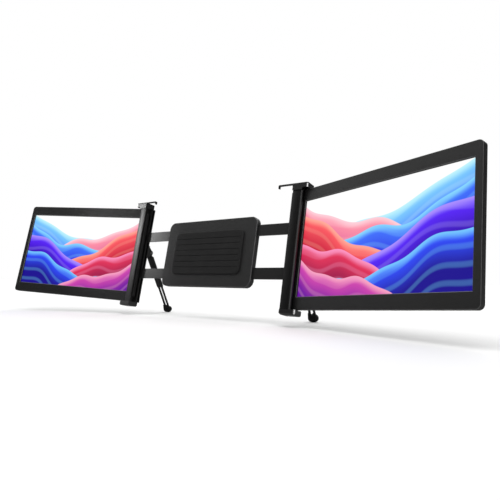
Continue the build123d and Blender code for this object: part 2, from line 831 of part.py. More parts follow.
# Housing back shell
with BuildPart() as housing_back:
    with BuildSketch(lid_face.offset(-housing_seam)):
        RectangleRounded(housing_width, housing_height, housing_corner)
    extrude(amount=-(housing_depth - housing_plate))
    fillet(
        housing_back.faces().sort_by(Axis(stand.origin, stand.y_dir))[-1].edges(),
        housing_edge,
    )
    with BuildSketch(lid_face.offset(-housing_seam)):
        RectangleRounded(
            housing_width - 2 * housing_wall,
            housing_height - 2 * housing_wall,
            housing_corner - housing_wall,
        )
    extrude(amount=-(housing_floor - housing_seam), mode=Mode.SUBTRACT)
    for end in (0, housing_width - housing_wall):
        with BuildSketch(housing_end.offset(end)):
            with Locations((arm_level, arm_mid_y), (-arm_level, arm_mid_y)):
                Rectangle(liner_outer[1], liner_outer[0])
        extrude(amount=housing_wall, mode=Mode.SUBTRACT)
    with BuildSketch(lid_face.offset(-housing_back_y)):
        with Locations(*housing_screw_places):
            Circle(screw_radius + screw_head_gap)
    extrude(amount=housing_wall, mode=Mode.SUBTRACT)
    with BuildSketch(lid_face.offset(-housing_back_y)):
        with Locations(*housing_screw_places):
            Circle(screw_head_radius + screw_head_gap)
    extrude(amount=head_recess, mode=Mode.SUBTRACT)
export_single(housing_back, "housing_back")

# Screws of the housing
with BuildPart() as housing_screws:
    with BuildSketch(lid_face.offset(-housing_back_y + head_recess)):
        with Locations(*housing_screw_places):
            Circle(screw_head_radius)
    extrude(amount=-screw_head)
    with BuildSketch(lid_face.offset(-housing_back_y + head_recess)):
        with Locations(*housing_screw_places):
            Circle(screw_radius)
    extrude(amount=screw_bite + housing_wall - head_recess)
export_single(housing_screws, "housing_screws")

# Silicone rest pad on the front of the housing
with BuildPart() as lid_pad:
    with BuildSketch(lid_face):
        RectangleRounded(lid_pad_width, lid_pad_height, lid_pad_corner)
    extrude(amount=-lid_pad_thickness)
    with BuildSketch(lid_face):
        with GridLocations(1, pad_groove_pitch, 1, pad_groove_count):
            SlotOverall(lid_pad_width - 2 * pad_groove_margin, pad_groove_width)
    extrude(amount=-pad_groove_depth, mode=Mode.SUBTRACT)
export_single(lid_pad, "lid_pad")

# Glide liners in the end walls, one round each arm
with BuildPart() as arm_liners:
    for end in (0, housing_width - liner_length):
        with BuildSketch(housing_end.offset(end)):
            with Locations((arm_level, arm_mid_y), (-arm_level, arm_mid_y)):
                Rectangle(liner_outer[1], liner_outer[0])
                Rectangle(liner_inner[1], liner_inner[0], mode=Mode.SUBTRACT)
        extrude(amount=liner_length)
export_single(arm_liners, "arm_liners")

# Anchor for both springs, standing on the back shell
with BuildPart() as spring_anchor:
    with BuildSketch(lid_face.offset(-housing_floor)):
        Rectangle(anchor_size, anchor_size)
    extrude(amount=housing_floor - arm_mid_y + spring_radius)
    fillet(spring_anchor.edges().filter_by(Axis(stand.origin, stand.y_dir)), anchor_post_radius)
export_single(spring_anchor, "spring_anchor")

# Tension springs that pull the arms in: shown as the sleeve that their coils fill
with BuildPart() as tension_spring:
    with BuildSketch(
        Plane(
            place(stand, anchor_size / 2 + spring_end_gap, arm_mid_y, 0),
            x_dir=stand.y_dir,
            z_dir=stand.x_dir,
        )
    ):
        Circle(spring_radius)
        Circle(spring_radius - spring_wire, mode=Mode.SUBTRACT)
    extrude(amount=yoke_inner - anchor_size / 2 - 2 * spring_end_gap)
export_pair(tension_spring, "tension_spring")

ear_inner = knuckle_width / 2 + knuckle_gap
# Cross sections of the leg hinge, along the column's own axes
leg_hinge = Plane(
    place(stand, leg_x, leg_pivot_y, leg_pivot_z), x_dir=stand.y_dir, z_dir=stand.x_dir
)
ear_base = leg_pivot_y - column_back

# Leg bracket: a plate on the channel with two ears
with BuildPart() as leg_bracket:
    with BuildSketch(lid_face.offset(-column_back)):
        with Locations((leg_x, leg_pivot_z)):
            Rectangle(2 * (ear_inner + ear_thickness), bracket_height)
    extrude(amount=-bracket_plate)
    for start in (ear_inner, -ear_inner - ear_thickness):
        with BuildSketch(leg_hinge.offset(start)):
            with BuildLine():
                Polyline((0, ear_radius), (-ear_base, bracket_height / 2),
                         (-ear_base, -bracket_height / 2), (0, -ear_radius))
                ThreePointArc((0, -ear_radius), (ear_radius, 0), (0, ear_radius))
            make_face()
            Circle(leg_pin_radius + pin_running_gap / 2, mode=Mode.SUBTRACT)
        extrude(amount=ear_thickness)
export_pair(leg_bracket, "leg_bracket")

# Leg hinge pin
with BuildPart() as leg_pin:
    with BuildSketch(leg_hinge.offset(-ear_inner - ear_thickness)):
        Circle(leg_pin_radius)
    extrude(amount=2 * (ear_inner + ear_thickness))
export_pair(leg_pin, "leg_pin")

# Leg sleeve: a flat tube with a knuckle between the ears and two bores for the rods
with BuildPart() as leg_sleeve:
    with BuildSketch(leg.offset(sleeve_start)):
        RectangleRounded(sleeve_width, sleeve_thickness, sleeve_edge)
    extrude(amount=sleeve_end - sleeve_start)
    with BuildSketch(leg_hinge.offset(-knuckle_width / 2)):
        Circle(ear_radius - knuckle_gap)
    extrude(amount=knuckle_width)
    with BuildSketch(leg):
        Rectangle(knuckle_width, sleeve_thickness)
    extrude(amount=sleeve_start)
    with BuildSketch(leg_hinge.offset(-knuckle_width / 2)):
        Circle(leg_pin_radius + pin_running_gap)
    extrude(amount=knuckle_width, mode=Mode.SUBTRACT)
    with BuildSketch(leg.offset(bore_top)):
        with GridLocations(rod_spacing, 1, 2, 1):
            Circle(rod_radius + rod_gap)
    extrude(amount=sleeve_end - bore_top, mode=Mode.SUBTRACT)
export_pair(leg_sleeve, "leg_sleeve")

rod_end = leg_length + foot_bite

# Leg rods: two steel rods that slide in the sleeve
with BuildPart() as leg_rods:
    with BuildSketch(leg.offset(rod_top)):
        with GridLocations(rod_spacing, 1, 2, 1):
            Circle(rod_radius)
    extrude(amount=rod_end - rod_top)
export_pair(leg_rods, "leg_rods")

# Rubber foot, a barrel with coned ends, moulded on the ends of both rods
with BuildPart() as leg_foot:
    with BuildSketch(
        Plane(place(leg, -foot_width / 2, 0, leg_length), x_dir=leg.y_dir, z_dir=leg.x_dir)
    ):
        Circle(foot_radius)
    extrude(amount=foot_width)
    chamfer(leg_foot.edges().filter_by(GeomType.CIRCLE), foot_edge)
    with BuildSketch(leg.offset(leg_length - foot_radius)):
        with GridLocations(rod_spacing, 1, 2, 1):
            Circle(rod_radius + foot_fit)
    extrude(amount=foot_radius + foot_bite + foot_fit, mode=Mode.SUBTRACT)
export_pair(leg_foot, "leg_foot")
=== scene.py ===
"""Portable monitor: two wing screens on a sprung clamp with folding rear legs, dressed for its picture."""
import json
from math import cos, pi, radians, sin

import bpy
from mathutils import Euler, Matrix, Vector


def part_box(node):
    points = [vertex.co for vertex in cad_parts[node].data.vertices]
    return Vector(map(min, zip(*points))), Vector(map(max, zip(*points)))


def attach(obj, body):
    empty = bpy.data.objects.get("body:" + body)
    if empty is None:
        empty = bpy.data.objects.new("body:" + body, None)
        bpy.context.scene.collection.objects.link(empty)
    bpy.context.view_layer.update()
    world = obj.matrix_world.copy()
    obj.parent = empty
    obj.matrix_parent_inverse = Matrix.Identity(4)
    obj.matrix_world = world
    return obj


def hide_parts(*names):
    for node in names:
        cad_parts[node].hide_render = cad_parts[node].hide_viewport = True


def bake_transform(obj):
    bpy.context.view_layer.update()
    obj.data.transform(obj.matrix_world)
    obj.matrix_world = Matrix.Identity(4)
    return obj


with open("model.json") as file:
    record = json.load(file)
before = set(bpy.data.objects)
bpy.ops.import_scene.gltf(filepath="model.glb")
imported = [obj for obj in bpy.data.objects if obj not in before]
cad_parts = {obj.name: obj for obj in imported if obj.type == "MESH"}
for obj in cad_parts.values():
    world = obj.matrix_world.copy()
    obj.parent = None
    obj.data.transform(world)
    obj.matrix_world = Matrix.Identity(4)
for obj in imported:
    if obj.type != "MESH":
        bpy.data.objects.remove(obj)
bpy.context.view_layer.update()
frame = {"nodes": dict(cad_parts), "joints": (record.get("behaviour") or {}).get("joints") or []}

# Centre housing: two halves of glass-filled black nylon, moulded with a fine spark texture
# and closed by six screws from behind. The arms slide in and out of its ends.
nodes = frame["nodes"]
swivel = next(joint for joint in frame["joints"] if joint["name"] == "left_screen_swivel")
lean_axis = Vector(swivel["axis"])
front_axis = Vector((1, 0, 0)).cross(lean_axis)
# Grey of the painted highlight on the rounded edges of moulded plastic faces.
edge_highlight_shade = 0.12


class Socket:
    """One socket of a node tree. Arithmetic on it adds the Math nodes that work it out."""

    def __init__(self, tree, output=None):
        self.tree = tree
        self.output = output

    def node(self, kind, settings=None, inputs=None, output=0):
        """Adds a node with its settings and its inputs' values or links, and gives one of its outputs."""
        made = self.tree.nodes.new("ShaderNode" + kind)
        for name, value in (settings or {}).items():
            setattr(made, name, value)
        for name, value in (inputs or {}).items():
            if isinstance(value, Socket):
                self.tree.links.new(value.output, made.inputs[name])
            else:
                made.inputs[name].default_value = value
        return Socket(self.tree, made.outputs[output])

    def math(self, operation, *values):
        return self.node("Math", {"operation": operation}, dict(enumerate(values)))

    def __add__(self, other):
        return self.math("ADD", self, other)

    def __radd__(self, other):
        return self.math("ADD", other, self)

    def __sub__(self, other):
        return self.math("SUBTRACT", self, other)

    def __rsub__(self, other):
        return self.math("SUBTRACT", other, self)

    def __mul__(self, other):
        return self.math("MULTIPLY", self, other)

    def __rmul__(self, other):
        return self.math("MULTIPLY", other, self)

    def __truediv__(self, other):
        return self.math("DIVIDE", self, other)

    def sine(self):
        """The sine of this value, which counts whole turns."""
        return self.math("SINE", 2 * pi * self)

    def smooth(self, start, end):
        """0 before start, 1 after end, and a smooth step between them."""
        return self.node(
            "MapRange",
            {"interpolation_type": "SMOOTHSTEP"},
            {"Value": self, "From Min": start, "From Max": end},
        )

    def along(self, direction):
        """How far this vector reaches along a direction."""
        return self.node(
            "VectorMath", {"operation": "DOT_PRODUCT"}, {0: self, 1: direction}, "Value"
        )

    def blend(self, first, second):
        """A colour between two others, with this value as the share of the second."""
        return self.node(
            "Mix", {"data_type": "RGBA"}, {"Factor": self, 6: first, 7: second}, 2
        )

    def noise(self, scale, detail=2.0):
        """Soft noise over these places, with about scale blotches to the metre."""
        return self.node("TexNoise", None, {"Vector": self, "Scale": scale, "Detail": detail})

    def bump(self, strength, depth):
        """The normals of a surface whose relief follows this value and is depth metres deep."""
        return self.node("Bump", None, {"Height": self, "Strength": strength, "Distance": depth})


def new_finish(name, **constants):
    """A material with the numbers that are the same all over it, and the first socket of its tree."""
    material = bpy.data.materials.new(name)
    material.use_nodes = True
    shader = material.node_tree.nodes["Principled BSDF"]
    for socket, value in constants.items():
        shader.inputs[socket.replace("_", " ")].default_value = value
    return material, Socket(material.node_tree)


def feed(paint, **sockets):
    """Links what changes over a surface to its shader."""
    shader = paint.tree.nodes["Principled BSDF"]
    for name, value in sockets.items():
        paint.tree.links.new(value.output, shader.inputs[name.replace("_", " ")])


def grey(value):
    return (value, value, value, 1.0)


def moulded_plastic(name, shade, grain, relief, rough, gloss=0.4, front=None):
    """Plastic from a spark-eroded mould: shade is its grey, and grain and relief are the size and the
    depth of its texture in metres. The edges round a face that looks along front get a painted highlight,
    a paler grey, and are made a little smoother."""
    material, paint = new_finish(name, Specular_IOR_Level=gloss)
    spot = paint.node("TexCoord", output="Object")
    pits = spot.noise(1 / grain, detail=3.0).smooth(0.35, 0.65)
    cloud = spot.noise(14.0)
    colour = (0.6 * cloud + 0.4 * pits).blend(grey(0.65 * shade), grey(1.35 * shade))
    roughness = rough + 0.24 * (pits - 0.5) + 0.08 * (cloud - 0.5)
    if front is not None:
        facing = paint.node("TexCoord", output="Normal").along(front)
        # Painted highlight: the rounded edges round the face are painted a paler grey. They are also made
        # smoother.
        highlighted_edges = facing.smooth(0.2, 0.5) * (1 - facing.smooth(0.85, 0.97))
        colour = highlighted_edges.blend(colour, grey(edge_highlight_shade))
        roughness = roughness * (1 - 0.5 * highlighted_edges)
    feed(paint, Base_Color=colour, Roughness=roughness, Normal=pits.bump(0.5, relief))
    return material


def dress(material, *names):
    """Gives CAD nodes their finish."""
    for name in names:
        nodes[name].data.materials.clear()
        nodes[name].data.materials.append(material)


# The housing halves get the painted edge highlight round their front and back faces.
for half, front in (("housing_front", front_axis), ("housing_back", -front_axis)):
    housing_plastic = moulded_plastic(
        f"{half}_plastic", shade=0.02, grain=0.0006, relief=0.0002, rough=0.46, front=front
    )
    dress(housing_plastic, half)

# Spring anchor and glide liners: black acetal, moulded smooth so that the steel arms run
# on them without grease.
acetal = moulded_plastic("acetal", shade=0.025, grain=0.002, relief=0.00001, rough=0.38, gloss=0.5)
dress(acetal, "spring_anchor", "arm_liners")

# Rest pad and side strips: black silicone with a soft matt skin, moulded with grip grooves
# and glued to the housing and to the columns.
SIDES = {"right": 1, "left": -1}
scene = bpy.context.scene
crease_angle = radians(35)
rim_steps = 5
corner_steps = 8
groove_shares = (-1, -0.7, 0, 0.7, 1)
groove_ends = (0.0, 0.0002, 0.0006)


def rubber(name, shade, rough):
    """Soft black rubber, a little dusty, with a faint moulded skin."""
    material, paint = new_finish(name, Specular_IOR_Level=0.3, Sheen_Weight=0.03)
    spot = paint.node("TexCoord", output="Object")
    skin = spot.noise(1200.0)
    dust = spot.noise(45.0, detail=4.0)
    feed(
        paint,
        Base_Color=dust.smooth(0.35, 0.8).blend(grey(shade), grey(1.5 * shade)),
        Roughness=rough + 0.1 * (dust - 0.5),
        Normal=skin.bump(0.4, 0.00005),
    )
    return material


def span(node, axis):
    """The lowest and highest reach of a CAD node along an axis."""
    reach = [axis.dot(vertex.co) for vertex in nodes[node].data.vertices]
    return min(reach), max(reach)


def add_piece(name, points, faces, material, body=None):
    """A new smooth mesh, which rides on a body where one is given."""
    mesh = bpy.data.meshes.new(name)
    mesh.from_pydata([tuple(point) for point in points], [], faces)
    mesh.update()
    mesh.polygons.foreach_set("use_smooth", [True] * len(mesh.polygons))
    mesh.set_sharp_from_angle(angle=crease_angle)
    mesh.materials.append(material)
    piece = bpy.data.objects.new(name, mesh)
    scene.collection.objects.link(piece)
    if body:
        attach(piece, body)
    return piece


def stations(half, rim, marks):
    """Places across a pad, from end to end: close together over its round rim, and the marks."""
    bends = [pi / 2 * step / rim_steps for step in range(rim_steps + 1)]
    ends = [half - rim * (1 - cos(bend)) for bend in bends]
    inside = [mark for mark in marks if abs(mark) < half - rim]
    return sorted({round(place, 7) for place in [*ends, *[-end for end in ends], *inside]})


def pad_faces(wide, tall):
    """The faces of a pad on two grids of points, its face and its underside, with a wall round them."""
    under = wide * tall
    faces = []
    for row in range(tall - 1):
        for column in range(wide - 1):
            quad = [row * wide + column + step for step in (0, 1, wide + 1, wide)]
            faces += [quad, [under + point for point in reversed(quad)]]
    ring = [*range(wide - 1), *[row * wide + wide - 1 for row in range(tall - 1)]]
    ring += [*range(under - 1, under - wide, -1), *[row * wide for row in range(tall - 1, 0, -1)]]
    for here, there in zip(ring, ring[1:] + ring[:1]):
        faces.append([there, here, under + here, under + there])
    return faces


def grip_pad(name, node, axes, body, corner, rim, count, pitch, width, depth, margin):
    """A silicone pad in a CAD pad's place, with round corners, a round rim and a row of grooves across
    its face. The grooves have a pitch, width and depth, and end a margin short of the pad's sides."""
    spans = [span(node, axis) for axis in axes]
    half_across, half_up = [(high - low) / 2 for low, high in spans[:2]]
    bottom, top = spans[2]
    middle = sum((axis * (low + high) / 2 for axis, (low, high) in zip(axes[:2], spans)), Vector())
    grooves = [(k - (count - 1) / 2) * pitch for k in range(count)]
    cuts = [groove + width / 2 * share for groove in grooves for share in groove_shares]
    ends = [half_across - margin - step for step in groove_ends]
    bends = [pi / 2 * step / corner_steps for step in range(corner_steps)]
    rounds = [half_up - corner * (1 - sin(bend)) for bend in bends]
    columns = stations(half_across, rim, [0.0, *ends, *[-end for end in ends]])
    rows = stations(half_up, rim, [*cuts, *rounds, *[-up for up in rounds]])
    points = []
    for face_up in (True, False):
        for up in rows:
            missing = max(0.0, abs(up) - (half_up - corner))
            reach = half_across - corner + max(0.0, corner**2 - missing**2) ** 0.5
            for column in columns:
                across = column * reach / half_across
                level = bottom
                if face_up:
                    into_rim = max(0.0, rim - min(reach - abs(across), half_up - abs(up)))
                    off = min(abs(up - groove) for groove in grooves) / (width / 2)
                    sunk = depth * max(0.0, 1 - off**2) ** 0.5 if abs(column) < ends[0] else 0.0
                    level = top - rim + max(0.0, rim**2 - into_rim**2) ** 0.5 - sunk
                points.append(middle + axes[0] * across + axes[1] * up + axes[2] * level)
    piece = add_piece(name, points, pad_faces(len(columns), len(rows)), silicone, body)
    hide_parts(node)


silicone = rubber("silicone", shade=0.012, rough=0.7)
grip_pad(
    "rest_pad", "lid_pad", (Vector((1, 0, 0)), lean_axis, front_axis), "centre",
    corner=0.009, rim=0.0009, count=6, pitch=0.010, width=0.0016, depth=0.0007, margin=0.008,
)
for side, outward in SIDES.items():
    inward = Vector((-outward, 0, 0))
    grip_pad(
        f"{side}_grip_strip", f"{side}_side_pad", (lean_axis.cross(inward), lean_axis, inward),
        f"{side}_arm", corner=0.0015, rim=0.0008,
        count=32, pitch=0.0048, width=0.0012, depth=0.0004, margin=0.0,
    )

# Pivot pins and leg pins: bare drawn steel, ground bright. The pivot pins stand in the caps of
# the columns, and the leg pins go through the brackets.


def drawn_noise(spot, way, stretch, scale, detail):
    """Noise drawn out into fine lines along a direction, or even noise where that is (0, 0, 0)."""
    squeeze = Vector((1.0, 1.0, 1.0)) - stretch * Vector(abs(value) for value in way)
    drawn = spot.node("VectorMath", {"operation": "MULTIPLY"}, {0: spot, 1: squeeze})
    return drawn.noise(scale, detail)


def drawn_steel(name, shade, rough, way=(0, 0, 0)):
    """Bare or blacked steel with fine marks along the direction in which it was drawn."""
    material, paint = new_finish(name, Metallic=1.0)
    spot = paint.node("TexCoord", output="Object")
    marks = drawn_noise(spot, way, stretch=0.97, scale=2500.0, detail=3.0)
    feed(
        paint,
        Base_Color=marks.blend(grey(0.85 * shade), grey(1.1 * shade)),
        Roughness=rough + 0.2 * (marks - 0.5),
        Normal=marks.bump(0.2, 0.00002),
    )
    return material


def dress_pair(material, *names):
    """Gives the right and the left twin of CAD nodes the same finish."""
    dress(material, *[f"{side}_{name}" for side in SIDES for name in names])


dress_pair(drawn_steel("leg_pin_steel", shade=0.6, rough=0.28, way=(1, 0, 0)), "leg_pin")
dress_pair(drawn_steel("pin_steel", shade=0.6, rough=0.22, way=lean_axis), "pivot_pins")

# Tension springs: steel wire wound into a long coil for each arm, from the anchor to the arm's
# cross bar.
spring_wire = drawn_steel("spring_wire", shade=0.6, rough=0.3)
wire_radius = 0.0004
coil_pitch = 0.0012
turn_steps = 16
wire_sides = 8


def tube_faces(first, rings, sides, closed=True):
    """The faces of a tube whose rings of points follow each other, flat at its start and, where it is
    closed, at its end."""
    last = first + (rings - 1) * sides
    faces = [list(range(first + sides - 1, first - 1, -1))]
    for start in range(first, last, sides):
        for step in range(sides):
            after = (step + 1) % sides
            faces.append([start + step, start + after, start + sides + after, start + sides + step])
    if closed:
        faces.append(list(range(last, last + sides)))
    return faces


for side, outward in SIDES.items():
    low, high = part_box(f"{side}_tension_spring")
    middle = (low + high) / 2
    coil_radius = (high.z - low.z) / 2 - wire_radius
    length = high.x - low.x - 2 * wire_radius
    steps = round(length / coil_pitch) * turn_steps
    points = []
    for step in range(steps + 1):
        turn = 2 * pi * step / turn_steps
        radial = Vector((0, cos(turn), sin(turn)))
        place = Vector((low.x + wire_radius + length * step / steps, middle.y, middle.z))
        for corner in range(wire_sides):
            around = 2 * pi * corner / wire_sides
            ring_way = cos(around) * radial - sin(around) * Vector((1, 0, 0))
            points.append(place + coil_radius * radial + wire_radius * ring_way)
    faces = tube_faces(0, steps + 1, wire_sides)
    coil = add_piece(f"{side}_spring_coil", points, faces, spring_wire)
    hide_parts(f"{side}_tension_spring")
    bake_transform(coil)

# Arm yokes, hooks and leg brackets: laser cut from steel sheet, bent where needed and powder
# coated black. The arms are screwed into the columns, the hooks on the caps.


def powder_coat(name, shade, rough, speckle):
    """Satin powder coat on metal: its orange peel is speckle metres across."""
    material, paint = new_finish(name, Specular_IOR_Level=0.5)
    spot = paint.node("TexCoord", output="Object")
    peel = paint.node("TexVoronoi", None, {"Vector": spot, "Scale": 1 / speckle}, "Distance")
    cloud = spot.noise(22.0, detail=3.0)
    feed(
        paint,
        Base_Color=cloud.blend(grey(0.8 * shade), grey(1.2 * shade)),
        Roughness=rough + 0.12 * (peel - 0.5) + 0.08 * (cloud - 0.5),
        Normal=peel.bump(0.3, 0.00004),
    )
    return material


dress_pair(powder_coat("arm_coat", shade=0.012, rough=0.42, speckle=0.0007), "arm_yoke", "leg_bracket")
dress_pair(powder_coat("hook_coat", shade=0.006, rough=0.55, speckle=0.0005), "hook")

# Columns: extruded aluminium in two halves, dark anodised. The die leaves faint lines down the
# whole length, which show where light grazes the front.
# Grey of the painted highlight on the caps' outer front corners.
corner_highlight_shade = 0.8


def anodised(name, shade, rough, way=(0, 0, 0), highlight_way=None):
    """Dark anodised aluminium with faint lines along way. An edge that faces the given highlight direction
    gets a painted highlight in bright metal grey.
    """
    material, paint = new_finish(name, Metallic=1.0)
    spot = paint.node("TexCoord", output="Object")
    lines = drawn_noise(spot, way, stretch=0.985, scale=1500.0, detail=4.0)
    cloud = spot.noise(30.0)
    colour = (0.5 * lines + 0.5 * cloud).blend(grey(0.85 * shade), grey(1.15 * shade))
    if highlight_way is not None:
        # Painted highlight: where the surface faces that way, its colour is a bright metal grey.
        facing = paint.node("TexCoord", output="Normal").along(highlight_way)
        colour = facing.smooth(0.75, 0.81).blend(colour, grey(corner_highlight_shade))
    feed(
        paint,
        Base_Color=colour,
        Roughness=rough + 0.14 * (lines - 0.5) + 0.05 * (cloud - 0.5),
        Normal=lines.bump(0.15, 0.00002),
    )
    return material


column_metal = anodised("column_metal", shade=0.048, rough=0.38, way=lean_axis)
dress_pair(column_metal, "column_front", "column_channel")

# Caps: die-cast and blasted blocks over the ends of each column, anodised like it, with a painted
# highlight in bright metal grey down the outer front corner. They carry the screen's steel pivot pins.
for side, outward in SIDES.items():
    corner_way = (front_axis + Vector((outward, 0, 0))).normalized()
    cap_metal = anodised(f"{side}_cap_metal", shade=0.085, rough=0.36, highlight_way=corner_way)
    dress(cap_metal, f"{side}_top_cap", f"{side}_bottom_cap")

# Bezels: thin frames of textured black plastic, with a bevelled edge round the picture. Their rounded
# edges carry a painted highlight and are a little smoother. Screws from behind hold them to the covers.
same_level = 0.00001


def panel_outward(side):
    """The direction along a panel, away from its column."""
    corners = [vertex.co for vertex in nodes[f"{side}_lcd_panel"].data.vertices]
    top = max(lean_axis.dot(corner) for corner in corners)
    upper = [corner for corner in corners if lean_axis.dot(corner) > top - same_level]
    upper.sort(key=lambda corner: corner.x * SIDES[side])
    along = upper[-1] - upper[0]
    return (along - lean_axis * along.dot(lean_axis)).normalized()


def screen_front(side):
    """The direction in which a screen looks."""
    return SIDES[side] * panel_outward(side).cross(lean_axis)


for side in SIDES:
    bezel_plastic = moulded_plastic(
        f"{side}_bezel_plastic",
        shade=0.012, grain=0.00045, relief=0.0001, rough=0.42, front=screen_front(side),
    )
    dress(bezel_plastic, f"{side}_bezel")

# Rear covers: moulded trays with the raised housing for the driver board. The texture is
# coarser than on the bezel, to hide finger marks.
# The covers' rounded edges get the same painted highlight.
for side in SIDES:
    cover_plastic = moulded_plastic(
        f"{side}_cover_plastic",
        shade=0.015, grain=0.0008, relief=0.0003, rough=0.48, gloss=0.35, front=-screen_front(side),
    )
    dress(cover_plastic, f"{side}_rear_cover")

# Panels: liquid crystal behind a matt polariser, switched on, with a black mask round the
# picture. The picture is a plain design of overlapping silky waves.
panel_border = 0.0024
mask_width = 0.0003
edge_blur = 0.001
crest_blur = 0.006
ripple = 0.3
ripple_rate = 2.7
full_depth = 0.3
fold_pitch = 0.13
fold_sway = 0.35
fold_sway_rate = 1.3
fold_glow = 0.16
rim_depth = 0.08
rim_glow = 0.8

# Each wave: height at the column and at the far end, swell, swells across, phase, and the
# colours of its rim, body and depth. Heights are shares of the picture's height.
waves = (
    (0.42, 1.02, 0.060, 0.9, 0.10, "#c9fbff", "#7fd0ff", "#3f6bff"),
    (0.98, 0.30, 0.070, 1.1, 0.55, "#ffd9e2", "#ff93a8", "#e0609a"),
    (0.30, 0.86, 0.075, 1.2, 0.85, "#8fe4ff", "#3f74ff", "#2a20e0"),
    (0.80, 0.14, 0.060, 1.3, 0.20, "#ffb4a0", "#ff5a62", "#d0183c"),
    (0.16, 0.68, 0.070, 1.0, 0.35, "#b79bff", "#5a22ff", "#3300aa"),
    (0.60, -0.06, 0.050, 1.5, 0.70, "#ff9fd0", "#e8305a", "#9a0f48"),
    (0.04, 0.48, 0.055, 1.4, 0.05, "#7fd8ff", "#2f4dff", "#1a0a90"),
    (0.38, -0.16, 0.045, 1.7, 0.45, "#ffb0c8", "#d848b0", "#6a10a0"),
)


def web_colour(code):
    """A colour given as web hex, in linear light."""
    parts = [int(code[i : i + 2], 16) / 255 for i in (1, 3, 5)]
    return (*[((p + 0.055) / 1.055) ** 2.4 if p > 0.04045 else p / 12.92 for p in parts], 1.0)


def lit_panel(side):
    """The panel's finish: a dark polariser film with the picture glowing through it."""
    material, paint = new_finish(
        f"{side}_display",
        Base_Color=grey(0.004),
        Roughness=0.4,
        Specular_IOR_Level=0.15,
        Emission_Strength=1.0,
    )
    spot = paint.node("TexCoord", output="Object")
    outward = panel_outward(side)
    near, far = span(f"{side}_lcd_panel", outward)
    low, high = span(f"{side}_lcd_panel", lean_axis)
    edge = panel_border + mask_width
    u = (spot.along(outward) - (near + edge)) / (far - near - 2 * edge)
    v = (spot.along(lean_axis) - (low + edge)) / (high - low - 2 * edge)
    picture = grey(1.0)
    for start, end, swell, count, phase, *codes in waves:
        rim, body, deep = [web_colour(code) for code in codes]
        crest = (count * u + phase).sine() + ripple * (ripple_rate * count * u + 3 * phase).sine()
        depth = start + (end - start) * u + swell * crest - v
        folds = (depth / fold_pitch + fold_sway * (fold_sway_rate * u + phase).sine()).sine()
        colour = depth.smooth(0.0, full_depth).blend(body, deep)
        colour = (fold_glow * folds.smooth(0.1, 1.0)).blend(colour, rim)
        colour = (rim_glow * (1 - depth.smooth(0.0, rim_depth))).blend(colour, rim)
        picture = depth.smooth(0.0, crest_blur).blend(picture, colour)
    inside = u.smooth(0.0, edge_blur) * (1 - u.smooth(1 - edge_blur, 1.0))
    inside = inside * v.smooth(0.0, 2 * edge_blur) * (1 - v.smooth(1 - 2 * edge_blur, 1.0))
    feed(paint, Emission_Color=inside.blend(grey(0.0), picture))
    return material


for side in SIDES:
    dress(lit_panel(side), f"{side}_lcd_panel")

# Backlights: white moulded trays with the light guide in them. They lie in the screens' casings
# and are hidden behind the panels.
backlight_white = moulded_plastic("backlight_white", shade=0.7, grain=0.001, relief=0.00002, rough=0.5)
dress_pair(backlight_white, "backlight")

# Driver boards: green solder mask over copper tracks on glass fibre, standing on posts behind
# the vents of the covers.
mask_green = (0.01, 0.07, 0.03, 1.0)
track_green = (0.03, 0.16, 0.06, 1.0)


def solder_mask(name):
    """Glossy green lacquer that rises a little over the tracks."""
    material, paint = new_finish(name, Coat_Weight=0.3)
    spot = paint.node("TexCoord", output="Object")
    tracks = paint.node(
        "TexBrick", None, {"Vector": spot, "Scale": 180.0, "Mortar Size": 0.03}, "Fac"
    )
    cloud = spot.noise(90.0)
    feed(
        paint,
        Base_Color=tracks.blend(mask_green, track_green),
        Roughness=0.4 + 0.2 * (cloud - 0.5),
        Normal=tracks.bump(0.4, 0.00003),
    )
    return material


dress_pair(solder_mask("board_green"), "driver_board")

# Sockets: folded shells of plated steel round a thin tongue, soldered to the driver boards and
# open at the wall of the raised housing.
dress_pair(drawn_steel("plated_steel", shade=0.55, rough=0.3), "sockets")

# Hinge bushes: black acetal with a flange, pressed into the screen's edge at both pivots. They
# turn on the steel pins.
dress_pair(acetal, "hinge_bushes")

# Keys: satin black plastic pills in the wall of the raised housing, for power, plus and minus.
# They press the switches on the driver board.
key_plastic = moulded_plastic(
    "key_plastic", shade=0.02, grain=0.0004, relief=0.00002, rough=0.35, gloss=0.5
)
dress_pair(key_plastic, "power_key", "plus_key", "minus_key")

# Screws: blacked steel with a round head and a cross recess, one finish for all of them. They
# close the housing and the screens, and hold the arms and the caps to the columns. The shares
# are of the head's radius, the dome's height or, at the tip, the shank's radius.
black_steel = drawn_steel("black_steel", shade=0.06, rough=0.35)
head_sides = 24
head_share = 0.9
flat_share = 0.62
dome_share = 0.75
tip_share = 0.75
tip_taper = 0.3
slot_reach = 0.52
slot_half_width = 0.13
recess_depth = 0.55
recess_taper = 0.8


def separate_solids(node):
    """The points of each solid in a CAD node. Points that share a face belong together."""
    mesh = nodes[node].data
    places = [tuple(round(value, 6) for value in vertex.co) for vertex in mesh.vertices]
    group = {place: {place} for place in places}
    for polygon in mesh.polygons:
        first, *others = [places[index] for index in polygon.vertices]
        for other in others:
            if group[first] is not group[other]:
                small, large = sorted((group[first], group[other]), key=len)
                large |= small
                for place in small:
                    group[place] = large
    solids = {id(members): members for members in group.values()}
    return [[Vector(place) for place in members] for members in solids.values()]


def turned(points, faces, origin, axis, profile, closed=True):
    """Adds a turned body: profile holds its radius and height at each ring. Gives its two cross axes."""
    across = axis.orthogonal().normalized()
    beside = axis.cross(across)
    first = len(points)
    for radius, height in profile:
        for step in range(head_sides):
            turn = 2 * pi * step / head_sides
            points.append(origin + axis * height + radius * (cos(turn) * across + sin(turn) * beside))
    faces += tube_faces(first, len(profile), head_sides, closed)
    return across, beside


